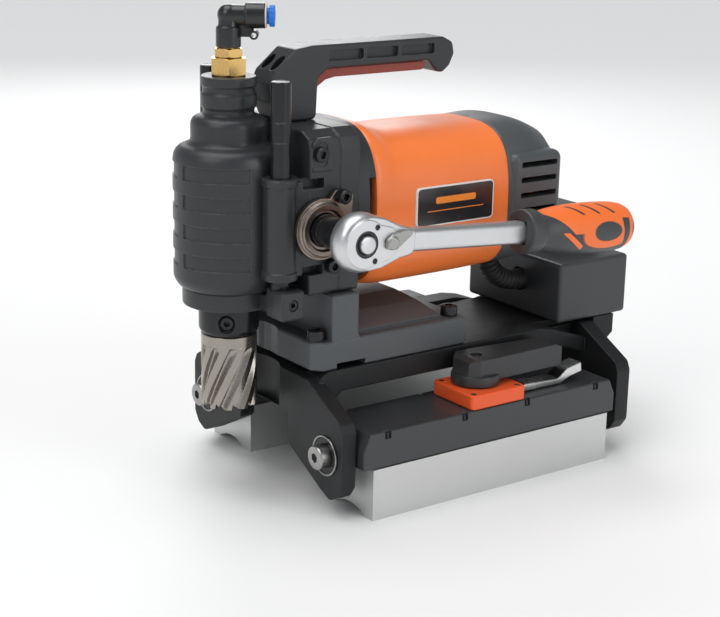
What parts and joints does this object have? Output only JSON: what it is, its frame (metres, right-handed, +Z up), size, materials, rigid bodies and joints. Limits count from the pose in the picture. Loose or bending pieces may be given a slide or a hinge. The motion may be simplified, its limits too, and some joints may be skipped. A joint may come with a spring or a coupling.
{
  "type": "magnetic drill press",
  "caption": "Low-profile magnetic drill press with swivelling switchable magnets, geared spindle, annular cutter and ratchet feed.",
  "frame": {"origin": "middle of the footprint, on the plane of the magnets' undersides", "axes": "+Z up, +Y to the rear where the control box is, +X to the side with the ratchet wrench"},
  "size_m": [0.1856, 0.3106, 0.2861],
  "materials": {
    "dark_grey_paint": "fine satin texture, dark grey",
    "grey_paint": "fine satin texture, mid grey",
    "black_anodised": "satin black anodised",
    "orange_plastic": "fine-grained orange moulding",
    "red_orange_plastic": "red-orange moulding",
    "black_plastic": "black moulding",
    "black_oxide_steel": "black oxide, slightly oily",
    "ground_steel": "ground",
    "stainless_steel": "turned and polished",
    "satin_chrome": "satin chrome",
    "brass": "bright machined",
    "bronze_steel": "phosphated with a bronze tint",
    "blue_plastic": "blue release ring",
    "winding": "copper winding and laminations",
    "rubber": "black corrugated rubber",
    "label_plate": "black plate, no lettering"
  },
  "bodies": {
    "chassis": {"saddle_frame": "dark_grey_paint", "base_casting": "grey_paint", "gear_housing": "dark_grey_paint", "feed_flange": "bronze_steel", "motor_housing": "orange_plastic", "motor_end_cap": "dark_grey_paint", "motor_stator": "ground_steel", "nameplate": "label_plate", "carry_handle": "dark_grey_paint", "handle_insert": "red_orange_plastic", "control_box": "dark_grey_paint", "box_floor": "grey_paint", "box_bracket": "dark_grey_paint", "motor_conduit": "rubber", "brass_adapter": "brass", "brass_nut": "brass", "feed_screw_upper": "black_oxide_steel", "feed_screw_lower": "black_oxide_steel", "housing_screw_right": "black_oxide_steel", "housing_screw_left": "black_oxide_steel", "base_screw_front_right": "black_oxide_steel", "base_screw_rear_right": "black_oxide_steel", "base_screw_front_left": "black_oxide_steel", "base_screw_rear_left": "black_oxide_steel", "pivot_bolt_front_right": "stainless_steel", "pivot_bolt_front_left": "stainless_steel", "pivot_bolt_rear_right": "stainless_steel", "pivot_bolt_rear_left": "stainless_steel"},
    "magnet_unit_right": {"magnet_right": "ground_steel", "magnet_cover_right": "black_anodised", "switch_base_right": "red_orange_plastic"},
    "magnet_unit_left": {"magnet_left": "ground_steel", "magnet_cover_left": "black_anodised", "switch_base_left": "red_orange_plastic"},
    "lever_right": {"switch_lever_right": "black_plastic"},
    "lever_left": {"switch_lever_left": "black_plastic"},
    "latch_spring_right": {"latch_right": "stainless_steel"},
    "latch_spring_left": {"latch_left": "stainless_steel"},
    "quill": {"quill_sleeve": "ground_steel", "feed_yoke": "dark_grey_paint", "guide_rod_right": "black_oxide_steel", "guide_rod_left": "black_oxide_steel", "yoke_screw_right": "black_oxide_steel", "yoke_screw_left": "black_oxide_steel"},
    "spindle": {"arbor": "black_oxide_steel", "arbor_screw_a": "black_oxide_steel", "arbor_screw_b": "black_oxide_steel", "annular_cutter": "ground_steel", "pilot_pin": "stainless_steel"},
    "motor_rotor": {"armature": "winding"},
    "feed_pinion": {"feed_shaft": "black_oxide_steel"},
    "wrench": {"wrench_head": "satin_chrome", "wrench_grip": "orange_plastic"},
    "wrench_release": {"release_button": "satin_chrome"},
    "wrench_reverse": {"reverse_lever": "stainless_steel"},
    "elbow": {"elbow_body": "black_plastic"},
    "elbow_collet": {"collet": "blue_plastic"},
    "stop_button": {"button_stop": "red_orange_plastic"},
    "start_button": {"button_start": "blue_plastic"}
  },
  "joints": [
    {"name": "magnet_tilt_right", "type": "hinge", "parent": "chassis", "child": "magnet_unit_right", "pos_m": [0.05915, 0.0088, 0.0367], "axis": [0, 1, 0], "range_deg": [0, 25]},
    {"name": "magnet_tilt_left", "type": "hinge", "parent": "chassis", "child": "magnet_unit_left", "pos_m": [-0.07085, 0.0088, 0.0367], "axis": [0, -1, 0], "range_deg": [0, 25]},
    {"name": "switch_turn_right", "type": "hinge", "parent": "magnet_unit_right", "child": "lever_right", "pos_m": [0.05965, 0.0088, 0.0623], "axis": [0, 0, -1], "range_deg": [0, 180]},
    {"name": "switch_turn_left", "type": "hinge", "parent": "magnet_unit_left", "child": "lever_left", "pos_m": [-0.07135, 0.0088, 0.0623], "axis": [0, 0, 1], "range_deg": [0, 180]},
    {"name": "latch_lift_right", "type": "hinge", "parent": "magnet_unit_right", "child": "latch_spring_right", "pos_m": [0.06565, 0.0373, 0.0545], "axis": [1, 0, 0], "range_deg": [0, 5], "stiffness_Nm_per_rad": 2, "springref_deg": -1.15},
    {"name": "latch_lift_left", "type": "hinge", "parent": "magnet_unit_left", "child": "latch_spring_left", "pos_m": [-0.07735, 0.0373, 0.0545], "axis": [1, 0, 0], "range_deg": [0, 5], "stiffness_Nm_per_rad": 2, "springref_deg": -1.15},
    {"name": "quill_feed", "type": "slide", "parent": "chassis", "child": "quill", "axis": [0, 0, -1], "range_m": [0, 0.048]},
    {"name": "feed_turn", "type": "hinge", "parent": "chassis", "child": "feed_pinion", "pos_m": [0.04415, -0.0922, 0.164], "axis": [1, 0, 0], "range_deg": [0, 292]},
    {"name": "spindle_spin", "type": "hinge", "parent": "quill", "child": "spindle", "pos_m": [-0.00585, -0.1237, 0.0985], "axis": [0, 0, 1], "continuous": true},
    {"name": "motor_spin", "type": "hinge", "parent": "chassis", "child": "motor_rotor", "pos_m": [-0.00585, -0.0037, 0.163], "axis": [0, 1, 0], "continuous": true},
    {"name": "wrench_swing", "type": "hinge", "parent": "chassis", "child": "wrench", "pos_m": [0.07745, -0.0922, 0.164], "axis": [1, 0, 0], "range_deg": [-12, 180]},
    {"name": "wrench_release_press", "type": "slide", "parent": "wrench", "child": "wrench_release", "axis": [-1, 0, 0], "range_m": [0, 0.0013], "stiffness_N_per_m": 600, "springref_m": -0.002},
    {"name": "wrench_reverse_flip", "type": "hinge", "parent": "wrench", "child": "wrench_reverse", "pos_m": [0.08575, -0.0762, 0.16343], "axis": [-1, 0, 0], "range_deg": [0, 50]},
    {"name": "elbow_swivel", "type": "hinge", "parent": "chassis", "child": "elbow", "pos_m": [-0.00585, -0.1237, 0.262], "axis": [0, 0, 1], "continuous": true},
    {"name": "collet_press", "type": "slide", "parent": "elbow", "child": "elbow_collet", "axis": [-0.5878, -0.809, 0], "range_m": [0, 0.0012], "stiffness_N_per_m": 500, "springref_m": -0.002},
    {"name": "stop_press", "type": "slide", "parent": "chassis", "child": "stop_button", "axis": [0, -1, 0], "range_m": [0, 0.0018], "stiffness_N_per_m": 500, "springref_m": -0.002},
    {"name": "start_press", "type": "slide", "parent": "chassis", "child": "start_button", "axis": [0, -1, 0], "range_m": [0, 0.0018], "stiffness_N_per_m": 500, "springref_m": -0.002}
  ],
  "couplings": [
    {"joint": "feed_turn", "follows": "quill_feed", "rad_per_m": 105.26},
    {"joint": "spindle_spin", "follows": "motor_spin", "ratio": 0.083333}
  ]
}
